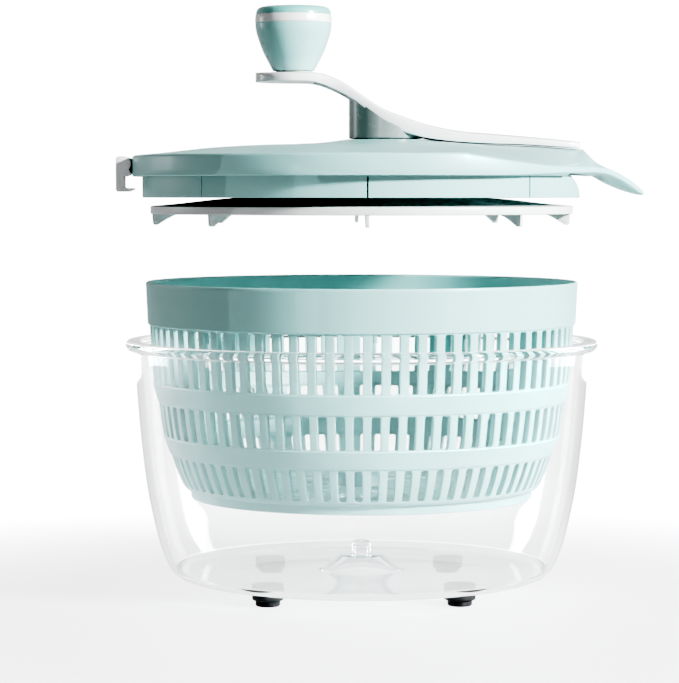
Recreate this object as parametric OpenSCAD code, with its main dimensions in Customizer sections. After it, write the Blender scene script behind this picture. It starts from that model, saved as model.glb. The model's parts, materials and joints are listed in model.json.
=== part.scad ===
// Hand-cranked salad spinner: clear bowl, slotted basket and geared lid with an S-shaped crank.
// Millimetres, +Z up. Origin: on the bowl's axis, on the surface that the four feet stand on.
// The crank's tail and the lid's lifting beak point along +X, the latch along -X.

/* [Arrangement] */
// Height that the basket is lifted above its seat in the bowl
basket_raise = 34.5; // [0:0.5:60]
// Height that the lid is lifted above its seat on the basket
lid_raise = 49.1; // [0:0.1:90]

/* [Bowl] */
// Outer radius of the turned-out rim
rim_r = 121.5; // [121:0.5:124]
// Height of the rim above the underside of the floor
bowl_h = 122; // [121:0.5:126]
// Radius of the flat part of the underside
base_r = 89; // [84:1:91]
// Thickness of the side wall
bowl_wall = 2.4; // [1.8:0.1:2.6]
// Thickness of the floor
floor_t = 3; // [2.4:0.1:3.4]
// Radius of the pivot pin on the floor's cone
pivot_r = 5; // [4:0.1:5]

/* [Feet] */
// Height of a foot below the bowl
foot_h = 9; // [6:0.5:12]
// Largest radius of a foot
foot_r = 8; // [7:0.5:9]
// Distance from the bowl's axis to a foot
foot_pitch_r = 68; // [60:1:74]

/* [Basket] */
// Overall height
basket_h = 110.5; // [108:0.5:111]
// Thickness of the wall
basket_wall = 1.4; // [1.2:0.1:1.6]
// Depth of the ribs between the slots, from the outside of the wall
rib_depth = 3.2; // [1.6:0.1:4]
// Number of slots in each of the three rows
slot_count = 76; // [60:1:80]
// Width of a slot in the lowest row
slot_w_low = 3.9; // [3:0.1:4.2]
// Width of a slot in the two upper rows
slot_w_high = 4.6; // [3.4:0.1:5]
// Height of the seated basket's foot ring above the bowl's floor
basket_gap = 4; // [4:0.5:6]

/* [Lid] */
// Outer radius of the lid's band
band_r = 117.6; // [117:0.1:118]
// Height of the lid's band
band_h = 10.7; // [9:0.1:12]
// Thickness of the lid's shell
lid_wall = 2.4; // [2:0.1:2.6]
// Height of the dome above the band's lower edge
dome_h = 16.2; // [16:0.1:16.4]
// Depth of the ring that centres the lid in the bowl
skirt_h = 10.7; // [8:0.1:12]
// Reach of the lifting beak from the lid's axis
beak_reach = 145.6; // [138:0.2:150]

/* [Latch] */
// Width of the latch
latch_w = 24; // [18:1:30]
// Radius of the latch's hinge pin
latch_pin_r = 1.25; // [1:0.05:1.5]

/* [Crank] */
// Distance from the crank's axis to the knob's axis
knob_arm = 47.5; // [44:0.5:50]
// Radius of the hub under the arm
hub_r = 19; // [16:0.5:19.5]
// Radius of the arm's end under the knob
arm_end_r = 19.4; // [16:0.2:20]
// Radius of the crank's shaft
shaft_r = 5; // [4:0.1:5.5]

/* [Knob] */
// Largest radius of the knob
knob_r = 19.6; // [18:0.1:21]
// Radius of the knob's waist at its lower end
knob_waist_r = 11; // [10:0.5:12]
// Radius of the axle that the knob turns on
axle_r = 4; // [3:0.1:4.5]

/* [Gears] */
// Gear module: pitch diameter for each tooth
gear_m = 1.25; // [1.15:0.05:1.25]
// Teeth of the ring gear on the crank
ring_teeth = 30; // [28:1:30]
// Teeth of the pinion on the drive shaft
pinion_teeth = 10; // [10:1:11]
// Radius of the drive shaft
drive_r = 3; // [2.5:0.1:3.2]

/* [Drive plate] */
// Outer radius of the drive plate
plate_r = 108.4; // [104:0.1:108.4]
// Thickness of the drive plate
plate_t = 2; // [1.6:0.1:2.4]
// Number of fins, and of the ribs in the basket that they push
fin_count = 8; // [4:1:8]

/* [Hidden] */
$fn = 96;
tau = 360;
press = 0;              // radial gap of a pressed-in piece
run = 0.05;             // radial gap of a piece that turns
free = 0.3;             // gap between pieces that only pass each other

floor_z = foot_h + floor_t;
rim_z = foot_h + bowl_h;
cone_r = 21;            // cone under the pivot: foot, shoulder, then heights above the floor
cone_top_r = 11;
cone_h = 8;
pivot_h = 15;

basket_z = floor_z + basket_gap + basket_raise;
seat_gap = 0.2;         // between the bowl's rim and the lid's band with both raises at 0
lid_z = rim_z + seat_gap + basket_raise + lid_raise;

hub_floor = 4;          // underside of the basket's floor above its foot ring
bush_r = 8;
bush_flange_r = 11;

skirt_r = 112.5;
skirt_top = 8.6;
lug_x = -122;           // hinge axis of the latch, from the lid's axis and the band's edge
lug_z = 6.2;
plateau_z = 19;         // flat ground on the lid that the crank's hub turns on
plateau_r = 19.6;
screw_r = 1.5;
crank_x = gear_m * (ring_teeth - pinion_teeth) / 2;     // crank's axis, from the lid's axis
bush_bore = shaft_r + run;
crank_bush_r = shaft_r + 3;
web_z = 8.2;            // underside of the ring gear's web
web_t = 3;
gear_case_r = 25;
cover_r = 33;
cover_z = -3.2;
cover_t = 2.2;
screw_pitch_r = 29.5;
plate_top = -9.6;       // top of the drive plate at its middle
plate_edge = -14.9;     // and at its edge
plate_rim = -19;        // and foot of the rim round it
fin_foot = -24.7;
knob_x = crank_x - knob_arm;
arm_top = 53.4;         // top of the arm under the knob
arm_t = 5;
axle_head_r = 6.8;
axle_head_t = 1.6;
head_sink = 1.8;        // depth of the axle head's seat in the arm's underside
knob_z = arm_top + 0.7;
grip_h = 24.4;
band_w = 4.3;
cap_h = 4.4;

// ---- outlines ----

// points on an arc about c, from angle a0 to a1, in n steps
function arc(c, r, a0, a1, n) =
    [for (i = [0:n]) c + r * [cos(a0 + (a1 - a0) * i / n), sin(a0 + (a1 - a0) * i / n)]];

// one point of the smooth curve through a, b, c, d, between b and c
function between(a, b, c, d, t) =
    0.5 * (2 * b + (c - a) * t + (2 * a - 5 * b + 4 * c - d) * t * t + (3 * b - a - 3 * c + d) * t * t * t);

// smooth curve through the points p, with n steps between neighbours
function smooth_line(p, n) = let (last = len(p) - 1) concat(
    [for (k = [0:last - 1], i = [0:n - 1])
        between(p[max(k - 1, 0)], p[k], p[k + 1], p[min(k + 2, last)], i / n)],
    [p[last]]);

function backwards(p) = [for (i = [len(p) - 1:-1:0]) p[i]];
function shifted(p, d) = [for (q = p) q + d];

// outside of the bowl's wall: radius, height above the underside
side_k = rim_r / 121.5;
bowl_side = smooth_line([[98.8, 4.6], [101.6, 10.4], [104.6, 19], [107.6, 31.5], [110.6, 47],
    [113.4, 70], [115.3, 92], [116.7, bowl_h - 8]], 3);
bowl_out = [for (p = bowl_side) [p[0] * side_k, p[1] + foot_h]];

// outside of the basket's wall: radius and height of the edges of its slot rows and bands
row_z = [[6, 22.9], [32.2, 49.6], [59.4, 88.7]];
wall_r = [91.9, 98.4, 101.9, 104.6, 107, 109];
slot_inset = 0.4;       // plain wall between a slot's end and the band's step

// top of the lid's dome: radius, height above the band's lower edge
dome = smooth_line([[0, dome_h], [40, dome_h - 0.1], [58, 15.8], [77, 14.7], [89, 13.5],
    [102, 12], [111, 11.2], [band_r - 2, band_h]], 3);

// top and underside of the crank's arm, seen from the side: x and height on the lid
arm_upper = smooth_line([[knob_x, arm_top], [-24, 53.2], [-16.8, 51.6], [-8.5, 47.7], [0.8, 41.4],
    [10.1, 35.2], [20, 31.2], [30, 27.7], [38, 25.6], [46, 24], [54, 22.9], [64, 22.2],
    [82, 20.7], [102, 18.9], [110, 17.8]], 3);
arm_lower = smooth_line([[knob_x, arm_top - arm_t], [-24, 47.8], [-14.7, 44.5], [-5.4, 39.5],
    [0.8, 35.1], [10.1, 28.1], [20, 23.2], [27, 20.9], [34, 19.4], [45, 18], [61, 17],
    [82, 16.35], [92, 15.85], [102, 15.15], [112.5, 14.5]], 3);

// plan of the arm: half its width along its length
arm_plan = smooth_line([[knob_x, arm_end_r], [-27, 18], [-14, 14.5], [0, 15.4], [crank_x, 17.2],
    [30, 17.4], [60, 15.4], [90, 12], [108, 8.4], [112, 5]], 4);

// ---- bowl ----

module bowl() {
    inner = [for (p = bowl_out) p - [bowl_wall, 0]];
    skin = floor_t - 0.6;
    shape = concat(
        [[0, floor_z + pivot_h - skin], [pivot_r - 2, floor_z + pivot_h - skin]],
        [[pivot_r - 2, floor_z + cone_h - 1.9], [cone_top_r - 1.5, floor_z + cone_h - 1.9]],
        [[cone_r, foot_h], [base_r, foot_h], [base_r + 5.5, foot_h + 1]],
        bowl_out,
        [[rim_r - 4.6, rim_z - 5.4], [rim_r - 2, rim_z - 5]],
        arc([rim_r - 2.5, rim_z - 2.5], 2.5, -60, 90, 6),
        arc([rim_r - 6.4, rim_z - 0.8], 0.8, 90, 180, 3),
        backwards(inner),
        [[base_r + 4, floor_z + 1.2], [base_r - 1, floor_z]],
        [[cone_r, floor_z], [cone_top_r, floor_z + cone_h], [pivot_r, floor_z + cone_h]],
        arc([pivot_r - 1.5, floor_z + pivot_h - 1.5], 1.5, 0, 90, 4),
        [[0, floor_z + pivot_h]]);
    color([0.9, 0.95, 0.95, 0.35])
    difference() {
        rotate_extrude() polygon(shape);
        at_feet() translate([0, 0, foot_h - 1]) cylinder(r = foot_r / 2, h = 2.2);
    }
}

module at_feet() {
    for (i = [0:3])
        rotate(45 + 90 * i) translate([foot_pitch_r, 0, 0]) children();
}

module bowl_feet() {
    neck = foot_r * 0.78;
    color([0.05, 0.05, 0.05])
    at_feet() rotate_extrude()
        polygon([[0, 0], [neck - 0.8, 0], [neck, 0.8], [neck, foot_h / 3], [foot_r - 0.6, foot_h / 3],
            [foot_r, foot_h / 3 + 0.6], [foot_r, foot_h], [foot_r / 2, foot_h],
            [foot_r / 2, foot_h + 1.2], [0, foot_h + 1.2]]);
}

// ---- basket ----

// one slot cutter, square to the wall, r out from the axis
module slot(r, w, z0, z1) {
    translate([r - 9, -w / 2, z0]) cube([18, w, z1 - z0]);
}

module basket_wall_shape() {
    w = basket_wall;
    outside = [[86.2, 0], [88, 0], [88, 4.6], [90.6, 5.2], [wall_r[0], row_z[0][0]],
        [wall_r[1], row_z[0][1]], [wall_r[1] + 0.5, row_z[0][1] + 0.3],
        [wall_r[2] + 0.5, row_z[1][0] - 0.3], [wall_r[2], row_z[1][0]],
        [wall_r[3], row_z[1][1]], [wall_r[3] + 0.5, row_z[1][1] + 0.3],
        [wall_r[4] + 0.5, row_z[2][0] - 0.3], [wall_r[4], row_z[2][0]],
        [wall_r[5], row_z[2][1]], [wall_r[5] + 1, row_z[2][1] + 0.4]];
    lip = arc([wall_r[5] + 1.2, basket_h - 0.8], 0.8, 0, 180, 6);
    // the wall is deeper behind each row of slots, with a slope of this half height at each end
    half = 0.85;
    inside = concat([[wall_r[5] - 0.6, row_z[2][1] + 2]],
        [for (row = [2, 1, 0], end = [1, 0]) let (r = wall_r[2 * row + end], z = row_z[row][end])
            each row == 0 && end == 0 ? [[r - rib_depth, z + 1.6]]
                : end == 1 ? [[r - w, z + half], [r - rib_depth, z - half]]
                : [[r - rib_depth, z + half], [r - w, z - half]]],
        [[86, hub_floor + 1.6]]);
    hub = [[bush_flange_r + 2, hub_floor + 1.6], [bush_flange_r + 2, hub_floor + 10.4],
        [bush_r + run, hub_floor + 10.4], [bush_r + run, hub_floor + 2.4],
        [bush_flange_r + free, hub_floor + 2.4], [bush_flange_r + free, hub_floor],
        [86.2, hub_floor]];
    rotate_extrude() polygon(concat(outside, lip, inside, hub));
}

// ribs inside the top band that the drive plate's fins push
module basket_ribs() {
    for (i = [0:fin_count - 1])
        rotate(tau * i / fin_count + 2)
            translate([103, -0.9, 85]) cube([5.6, 1.8, 10.2]);
}

module basket() {
    color([0.62, 0.82, 0.80])
    translate([0, 0, basket_z])
    difference() {
        union() {
            basket_wall_shape();
            basket_ribs();
        }
        for (i = [0:slot_count - 1])
            rotate(tau * (i + 0.5) / slot_count) {
                slot(wall_r[0], slot_w_low, row_z[0][0] + 0.9, row_z[0][1] - slot_inset);
                slot(wall_r[2], slot_w_high, row_z[1][0] + slot_inset, row_z[1][1] - slot_inset);
                slot(wall_r[4], slot_w_high, row_z[2][0] + slot_inset, row_z[2][1] - slot_inset);
            }
        for (row = [[18, 38, 16], [43, 60, 30], [65, 81, 44]], i = [0:row[2] - 1])
            rotate(tau * (i + 0.5) / row[2])
                translate([row[0], -1.7, hub_floor - 1]) cube([row[1] - row[0], 3.4, 4]);
    }
}

module basket_bush() {
    color([0.92, 0.93, 0.92])
    translate([0, 0, basket_z + hub_floor + 0.3])
    difference() {
        union() {
            cylinder(r = bush_flange_r, h = 2);
            cylinder(r = bush_r, h = 12.6);
        }
        translate([0, 0, -1]) cylinder(r = pivot_r + free, h = 8.4);
    }
}

module bush_ring() {
    color([0.75, 0.76, 0.76])
    translate([0, 0, basket_z + hub_floor + 10.6])
    difference() {
        cylinder(r = bush_r + 2.4, h = 1.4);
        translate([0, 0, -1]) cylinder(r = bush_r + press, h = 4);
    }
}

// ---- lid ----

module lid_shell() {
    under = [for (p = dome) if (p[0] < band_r - 4) p - [0, lid_wall]];
    rotate_extrude()
        polygon(concat(backwards(under), [[0, dome_h]], dome,
            arc([band_r - 1.6, band_h - 1.6], 1.6, 80, 0, 4),
            [[band_r, 0], [band_r - lid_wall, 0], [band_r - lid_wall, band_h - 2.6]]));
}

// raised spine along +X that runs out into the lifting beak
module lid_beak() {
    root = band_r - 2.2;
    upper = smooth_line([[24, dome_h], [40, 17.4], [61, 16.6], [82, 15.95], [92, 15.5], [102, 14.75],
        [113, 14], [119.5, 8.6], [124.6, 4.6], [131, 1.6], [138, -2.2], [beak_reach, -8.8]], 4);
    lower = concat(
        smooth_line([[beak_reach - 1, -9.4], [137, -7.8], [130, -5.2], [124.6, -1.6], [122.6, 0.4]], 4),
        [[root + 1, 0.4]]);
    half = smooth_line([[24, 16], [60, 30], [90, 46], [101.8, 57], [108, 48.6], [116, 36.5],
        [125, 25], [134, 14.5], [141, 6.5], [beak_reach, 0.6]], 4);
    crown = [[-60, -18.6], [0, 0], [60, -18.6], [60, -80], [-60, -80]];
    difference() {
        intersection() {
            rotate([90, 0, 0]) linear_extrude(100, center = true)
                polygon(concat(upper, lower, [[root, 6], [104, 8.5], [24, dome_h - 1.5]]));
            translate([0, 0, -20]) linear_extrude(60)
                polygon(concat(half, backwards([for (p = half) [p[0], -p[1]]])));
            rotate([0, 2, 0]) translate([20, 0, 19.5]) rotate([90, 0, 90]) linear_extrude(150)
                polygon(crown);
        }
        translate([0, 0, -20]) cylinder(r = band_r - lid_wall, h = 20 + skirt_top);
    }
}

module lid_lug() {
    translate([lug_x, 4, lug_z]) rotate([90, 0, 0]) cylinder(r = 3.6, h = 8);
    translate([lug_x, -4, lug_z - 3.6]) cube([6.2, 8, 6.4]);
}

// raised ground round the crank, which falls away to the dome
module lid_plateau() {
    slope = smooth_line([[plateau_r, plateau_z], [22, 18.85], [24.5, 18.45], [31, 17.55], [37, 17.05],
        [43, 16.7], [49, 16.4], [55, 15.2]], 3);
    rotate_extrude()
        polygon(concat([[0, 11.5], [plateau_r - 6, 11.5], [plateau_r - 4, 13.2],
            [plateau_r + 8, 13.2], [52, 14.5]], backwards(slope), [[0, plateau_z]]));
}

module at_cover_screws() {
    for (a = [45:90:315])
        translate([crank_x, 0, 0]) rotate(a) translate([screw_pitch_r, 0, 0]) children();
}

module lid_cover() {
    color([0.66, 0.85, 0.83])
    translate([0, 0, lid_z])
    difference() {
        union() {
            lid_shell();
            lid_beak();
            lid_lug();
            translate([crank_x, 0, 0]) lid_plateau();
            translate([crank_x, 0, cover_z + cover_t]) difference() {
                cylinder(r = gear_case_r + 2, h = 13.2 - cover_z);
                translate([0, 0, -1]) cylinder(r = gear_case_r, h = 30);
            }
            translate([0, 0, cover_z + cover_t])
                at_cover_screws() cylinder(r = 3.4, h = 13 - cover_z);
        }
        translate([crank_x, 0, 5]) cylinder(r = crank_bush_r + press, h = 30);
        translate([crank_x, 0, plateau_z - 0.8]) cylinder(r = crank_bush_r + 3, h = 5);
        translate([lug_x, 10, lug_z]) rotate([90, 0, 0])
            cylinder(r = latch_pin_r + run, h = 20);
        translate([0, 0, cover_z]) at_cover_screws() cylinder(r = screw_r, h = 10);
    }
}

module lid_skirt() {
    color([0.60, 0.80, 0.78])
    translate([0, 0, lid_z])
    difference() {
        rotate_extrude()
            polygon([[skirt_r - 1.1, -skirt_h], [skirt_r - 0.5, -skirt_h], [skirt_r, -skirt_h + 0.5],
                [skirt_r, skirt_top], [skirt_r - 1.1, skirt_top]]);
        for (i = [1:7])
            rotate(45 * i) translate([105, -0.4, -skirt_h - 1]) cube([12, 0.8, skirt_h + 0.4]);
        // window under the beak, with round lower corners
        translate([100, 0, 0]) rotate([90, 0, 90]) linear_extrude(20)
            polygon([for (side = [-1, 1], q = arc([0, 0], 1, 225 + 45 * side, 315 + 45 * side, 6))
                [22.4 * q[0] + 23.4 * side, 7.2 * q[1] + 0.3]]);
    }
}

// ---- latch ----

module latch_clip() {
    knuckle = 4.1;
    outline = concat(
        arc([lug_x, lug_z], knuckle, 0, 100, 8),
        arc([-123.9, 8.7], 1.6, 90, 180, 4),
        arc([-124.3, -6.5], 1.2, 180, 270, 3),
        [[-119.6, -7.7], [-116.6, -6.7], [-116.6, -5.95], [-120.6, -5.85]],
        arc([-121, -4.85], 1, 270, 180, 3),
        arc([lug_x, lug_z], 6.1, 270, 312, 5));
    color([0.95, 0.95, 0.94])
    translate([0, 0, lid_z])
    difference() {
        translate([0, latch_w / 2, 0]) rotate([90, 0, 0]) linear_extrude(latch_w) polygon(outline);
        translate([0, 0, -20]) cylinder(r = 117.3, h = 40, $fn = 180);
        translate([lug_x - 4.3, -4.3, lug_z - 4.2]) cube([12, 8.6, 12]);
        translate([lug_x, 20, lug_z]) rotate([90, 0, 0]) cylinder(r = latch_pin_r + press, h = 40);
    }
}

module latch_pin() {
    color([0.7, 0.7, 0.72])
    translate([lug_x, latch_w / 2 - 1, lid_z + lug_z])
        rotate([90, 0, 0]) cylinder(r = latch_pin_r, h = latch_w - 2);
}

// ---- crank ----

// everything above (or below) the arm's underside, seen from the side
module under_arm(extra) {
    rotate([90, 0, 0]) linear_extrude(80, center = true)
        polygon(concat(shifted(arm_lower, [0, extra]), [[130, -20], [-70, -20], [-70, arm_top - arm_t]]));
}

module crank_arm() {
    end = arc([knob_x, 0], arm_end_r, 90, 270, 24);
    side = [for (p = arm_plan) if (p[0] > knob_x) p];
    plan = concat(end, [for (p = side) [p[0], -p[1]]], backwards(side));
    rim = 1.9;
    color([0.95, 0.95, 0.94])
    translate([0, 0, lid_z])
    difference() {
        intersection() {
            rotate([90, 0, 0]) linear_extrude(60, center = true)
                polygon(concat([[knob_x - 30, arm_top]], arm_upper, backwards(arm_lower),
                    [[knob_x - 30, arm_top - arm_t]]));
            linear_extrude(80) polygon(plan);
        }
        translate([knob_x, 0, 30]) cylinder(r = axle_r + press, h = 40);
        translate([knob_x, 0, 30]) cylinder(r = axle_head_r, h = arm_top - arm_t + head_sink - 30);
        // hollow underside of the tail
        intersection() {
            translate([34, 0, 0]) linear_extrude(60)
                polygon([[0, -12], [0, 12], [30, 11.6], [56, 8.4], [68, 5], [68, -5], [56, -8.4],
                    [30, -11.6]]);
            under_arm(rim);
        }
    }
}

module crank_hub() {
    color([0.86, 0.88, 0.88])
    translate([0, 0, lid_z])
    difference() {
        intersection() {
            translate([crank_x, 0, plateau_z + 0.4]) cylinder(r = hub_r, h = 40);
            under_arm(0);
        }
        translate([crank_x, 0, 0]) cylinder(r = shaft_r + press, h = plateau_z + 5);
    }
}

module crank_shaft() {
    color([0.75, 0.76, 0.77])
    translate([crank_x, 0, lid_z + web_z + web_t])
    difference() {
        cylinder(r = shaft_r, h = plateau_z + 5 - web_z - web_t);
        translate([0, 0, -1]) cylinder(r = screw_r, h = 9);
    }
}

module crank_bush() {
    color([0.85, 0.85, 0.8])
    translate([crank_x, 0, lid_z])
    difference() {
        union() {
            translate([0, 0, 11.5]) cylinder(r = crank_bush_r, h = plateau_z - 11.5);
            translate([0, 0, plateau_z - 0.8]) cylinder(r = crank_bush_r + 3, h = 1);
        }
        cylinder(r = bush_bore, h = 40);
    }
}

module crank_screw() {
    color([0.6, 0.6, 0.62])
    translate([crank_x, 0, lid_z + web_z]) {
        translate([0, 0, -2]) cylinder(r = 3.6, h = 2);
        cylinder(r = screw_r, h = web_t + 8);
    }
}

// ---- gears ----

// involute of a base circle rb at radius r: the angle it has turned through
function involute(rb, r) =
    let (c = min(1, rb / r), a = acos(c)) tan(a) * 180 / PI - a;

// outline of a gear: z teeth, tip and root radii, and slack taken off each flank
module gear_outline(z, tip, root, slack) {
    pitch = gear_m * z / 2;
    rb = pitch * cos(20);
    half = 90 / z - slack / pitch * 180 / PI + involute(rb, pitch);
    foot = max(root, rb);
    flank = [for (i = [0:5]) let (r = foot + (tip - foot) * i / 5)
        [r, half - involute(rb, r)]];
    one = concat([[root, flank[0][1]]], flank);
    polygon([for (k = [0:z - 1], s = [-1, 1], i = [0:len(one) - 1])
        let (q = s < 0 ? one[i] : one[len(one) - 1 - i], a = tau * k / z + s * q[1])
            q[0] * [cos(a), sin(a)]]);
}

module ring_gear() {
    pitch = gear_m * ring_teeth / 2;
    color([0.9, 0.9, 0.86])
    translate([crank_x, 0, lid_z])
    difference() {
        union() {
            translate([0, 0, web_z]) cylinder(r = gear_case_r - 1.6, h = web_t);
            difference() {
                translate([0, 0, 0.2]) cylinder(r = gear_case_r - 1.6, h = web_z - 0.2);
                // the space between the teeth, as a gear of the mating size
                translate([0, 0, -1]) linear_extrude(web_z + 1)
                    rotate(180 / ring_teeth) intersection() {
                        gear_outline(ring_teeth, pitch + 1.35, pitch - 0.62, -0.1);
                        circle(r = pitch + 1.3, $fn = 120);
                    }
            }
        }
        cylinder(r = screw_r + press, h = 30);
    }
}

module drive_pinion() {
    pitch = gear_m * pinion_teeth / 2;
    color([0.9, 0.9, 0.86])
    translate([0, 0, lid_z + 0.6])
    difference() {
        linear_extrude(7) rotate(180 / pinion_teeth)
            gear_outline(pinion_teeth, pitch + 1, pitch - 1.3, 0.1);
        translate([0, 0, -1]) cylinder(r = drive_r + press, h = 10);
    }
}

module gear_cover() {
    color([0.82, 0.84, 0.84])
    translate([0, 0, lid_z])
    difference() {
        union() {
            translate([crank_x, 0, cover_z]) cylinder(r = cover_r, h = cover_t);
            translate([0, 0, cover_z - 4.8]) cylinder(r = 8.6, h = 5);
        }
        translate([0, 0, -20]) cylinder(r = 6 + press, h = 40);
        translate([0, 0, cover_z - 1]) at_cover_screws() cylinder(r = 1.8, h = 10);
    }
}

module cover_screws() {
    color([0.6, 0.6, 0.62])
    translate([0, 0, lid_z]) at_cover_screws() {
        translate([0, 0, cover_z - 1.8]) cylinder(r = 3, h = 1.8);
        translate([0, 0, cover_z]) cylinder(r = screw_r, h = 9.5);
    }
}

module shaft_bush() {
    color([0.85, 0.85, 0.8])
    translate([0, 0, lid_z + cover_z - 5.2])
    difference() {
        union() {
            cylinder(r = 7, h = 0.4);
            cylinder(r = 6, h = 5.2 + cover_t);
        }
        translate([0, 0, -1]) cylinder(r = drive_r + run, h = 20);
    }
}

module drive_shaft() {
    color([0.7, 0.71, 0.73])
    translate([0, 0, lid_z - 19]) cylinder(r = drive_r, h = 26.6);
}

// ---- drive plate ----

module drive_plate() {
    top = smooth_line([[9, plate_top], [45, plate_top - 0.2], [70, -11.2], [94, -13.8],
        [plate_r - 1, plate_edge]], 3);
    under = shifted(top, [0, -plate_t]);
    fin = concat([[plate_r - 0.2, -16], [plate_r - 0.6, fin_foot + 0.9], [plate_r - 1.4, fin_foot],
        [104.8, fin_foot]],
        smooth_line([[103.6, fin_foot + 0.8], [100.8, -22.2], [98, -20.6], [95, -19.4], [91, -18.6],
        [84, -15.4]], 3));
    color([0.93, 0.94, 0.93])
    translate([0, 0, lid_z])
    difference() {
        union() {
            rotate_extrude()
                polygon(concat([[0, plate_top]], top, [[plate_r, plate_edge - 0.6],
                    [plate_r, plate_rim], [plate_r - 1.8, plate_rim],
                    [plate_r - 1.8, plate_edge - plate_t]],
                    backwards([for (p = under) if (p[0] < plate_r - 3) p]),
                    [[9, -14.6], [0, -14.6]]));
            for (i = [0:fin_count - 1])
                rotate(tau * i / fin_count)
                    translate([0, 0.9, 0]) rotate([90, 0, 0]) linear_extrude(1.8) polygon(fin);
        }
        translate([0, 0, -30]) cylinder(r = drive_r + press, h = 40);
    }
}

module plate_nut() {
    color([0.6, 0.6, 0.62])
    translate([0, 0, lid_z - 18.2])
    difference() {
        cylinder(r = 5.8, h = 3.6, $fn = 6);
        translate([0, 0, -1]) cylinder(r = drive_r + press, h = 8);
    }
}

// ---- knob ----

module at_knob() {
    translate([knob_x, 0, lid_z]) children();
}

module knob_grip() {
    h = grip_h;
    outer = smooth_line([[knob_waist_r, 0.9], [13.1, 4.9], [15.5, 9.6], [18, 16.3], [19.2, 20.7],
        [knob_r, h]], 3);
    inner = [for (p = outer) if (p[1] > 2) p - [2.2, 0]];
    color([0.62, 0.82, 0.80])
    at_knob() translate([0, 0, knob_z]) rotate_extrude()
        polygon(concat([[axle_r + 0.06, 0], [knob_waist_r - 1, 0]], outer, backwards(inner),
            [[inner[0][0], 2.2], [axle_r + 2.6, 2.2], [axle_r + 2.6, 18.6],
            [axle_r + 0.06, 18.6]]));
}

module knob_band() {
    color([0.96, 0.96, 0.95])
    at_knob() translate([0, 0, knob_z + grip_h]) rotate_extrude()
        polygon([[knob_r - 2.4, 0], [knob_r, 0], [knob_r - 0.2, band_w], [knob_r - 2.4, band_w]]);
}

module knob_cap() {
    r = knob_r - 0.2;
    color([0.66, 0.85, 0.83])
    at_knob() translate([0, 0, knob_z + grip_h]) rotate_extrude()
        polygon(concat([[0, band_w - 1], [r - 4.2, band_w - 1], [r - 4.2, 0.2], [r - 2.2, 0.2],
            [r - 2.2, band_w], [r, band_w]],
            smooth_line([[r - 0.2, band_w + 1.2], [r - 1.4, band_w + 2.9], [r - 4.4, band_w + 3.9],
            [r - 11, band_w + 4.3], [0, band_w + cap_h]], 4)));
}

module knob_axle() {
    color([0.7, 0.71, 0.73])
    at_knob() {
        translate([0, 0, arm_top - arm_t + head_sink]) {
            translate([0, 0, -axle_head_t]) cylinder(r = axle_head_r - 0.2, h = axle_head_t);
            cylinder(r = axle_r, h = arm_t - head_sink + 21.6);
        }
    }
}

module knob_washer() {
    color([0.85, 0.85, 0.8])
    at_knob() translate([0, 0, arm_top])
    difference() {
        cylinder(r = 9, h = 0.5);
        translate([0, 0, -1]) cylinder(r = axle_r + press, h = 4);
    }
}

module axle_ring() {
    color([0.6, 0.6, 0.62])
    at_knob() translate([0, 0, knob_z + 18.8])
    difference() {
        cylinder(r = axle_r + 2.2, h = 1);
        translate([0, 0, -1]) cylinder(r = axle_r + press, h = 4);
    }
}

bowl();
bowl_feet();
basket();
basket_bush();
bush_ring();
lid_cover();
lid_skirt();
latch_clip();
latch_pin();
crank_arm();
crank_hub();
crank_shaft();
crank_bush();
crank_screw();
ring_gear();
gear_cover();
cover_screws();
drive_pinion();
drive_shaft();
shaft_bush();
drive_plate();
plate_nut();
knob_grip();
knob_band();
knob_cap();
knob_axle();
knob_washer();
axle_ring();
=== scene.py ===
"""Salad spinner, lifted apart: clear bowl, slotted basket, and geared lid with crank, latch and drive plate.

Every length in an outline below is in millimetres, measured from the datum of its own group, and is turned
into metres when its mesh is made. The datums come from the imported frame.
"""
import json
import math

import bmesh
import bpy
import numpy as np
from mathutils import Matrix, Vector


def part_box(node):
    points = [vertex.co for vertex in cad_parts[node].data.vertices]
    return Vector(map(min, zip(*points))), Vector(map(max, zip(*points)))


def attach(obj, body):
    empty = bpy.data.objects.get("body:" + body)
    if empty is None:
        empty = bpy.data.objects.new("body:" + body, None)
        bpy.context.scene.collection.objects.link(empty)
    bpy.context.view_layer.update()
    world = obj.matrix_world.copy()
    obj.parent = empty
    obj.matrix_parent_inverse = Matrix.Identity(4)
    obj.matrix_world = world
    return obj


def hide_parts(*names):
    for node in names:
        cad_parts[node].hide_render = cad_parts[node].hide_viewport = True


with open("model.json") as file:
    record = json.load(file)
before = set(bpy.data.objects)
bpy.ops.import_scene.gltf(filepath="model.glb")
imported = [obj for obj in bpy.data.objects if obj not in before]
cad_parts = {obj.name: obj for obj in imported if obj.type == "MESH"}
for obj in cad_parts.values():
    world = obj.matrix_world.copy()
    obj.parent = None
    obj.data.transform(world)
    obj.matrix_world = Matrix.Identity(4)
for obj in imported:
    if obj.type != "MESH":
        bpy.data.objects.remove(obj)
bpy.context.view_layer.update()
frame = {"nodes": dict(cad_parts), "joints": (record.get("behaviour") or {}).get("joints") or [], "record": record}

MM = 0.001
JOINT = {j["name"]: j for j in frame["joints"]}
LID = Vector((0, 0, JOINT["crank_turn"]["pos_m"][2]))
BASKET = Vector((0, 0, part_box("basket")[0].z))
FLOOR = Vector((0, 0, 0))
CRANK_X = JOINT["crank_turn"]["pos_m"][0] / MM
KNOB_X = JOINT["knob_spin"]["pos_m"][0] / MM
PIN_X = JOINT["latch_swing"]["pos_m"][0] / MM
PIN_Z = (JOINT["latch_swing"]["pos_m"][2] - LID.z) / MM
RIM_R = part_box("bowl")[1].x / MM
RIM_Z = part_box("bowl")[1].z / MM
BAND_R = 117.6
LATCH_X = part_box("latch_clip")[0].x / MM
TIP_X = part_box("lid_cover")[1].x / MM


# ---- outlines ----

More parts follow.
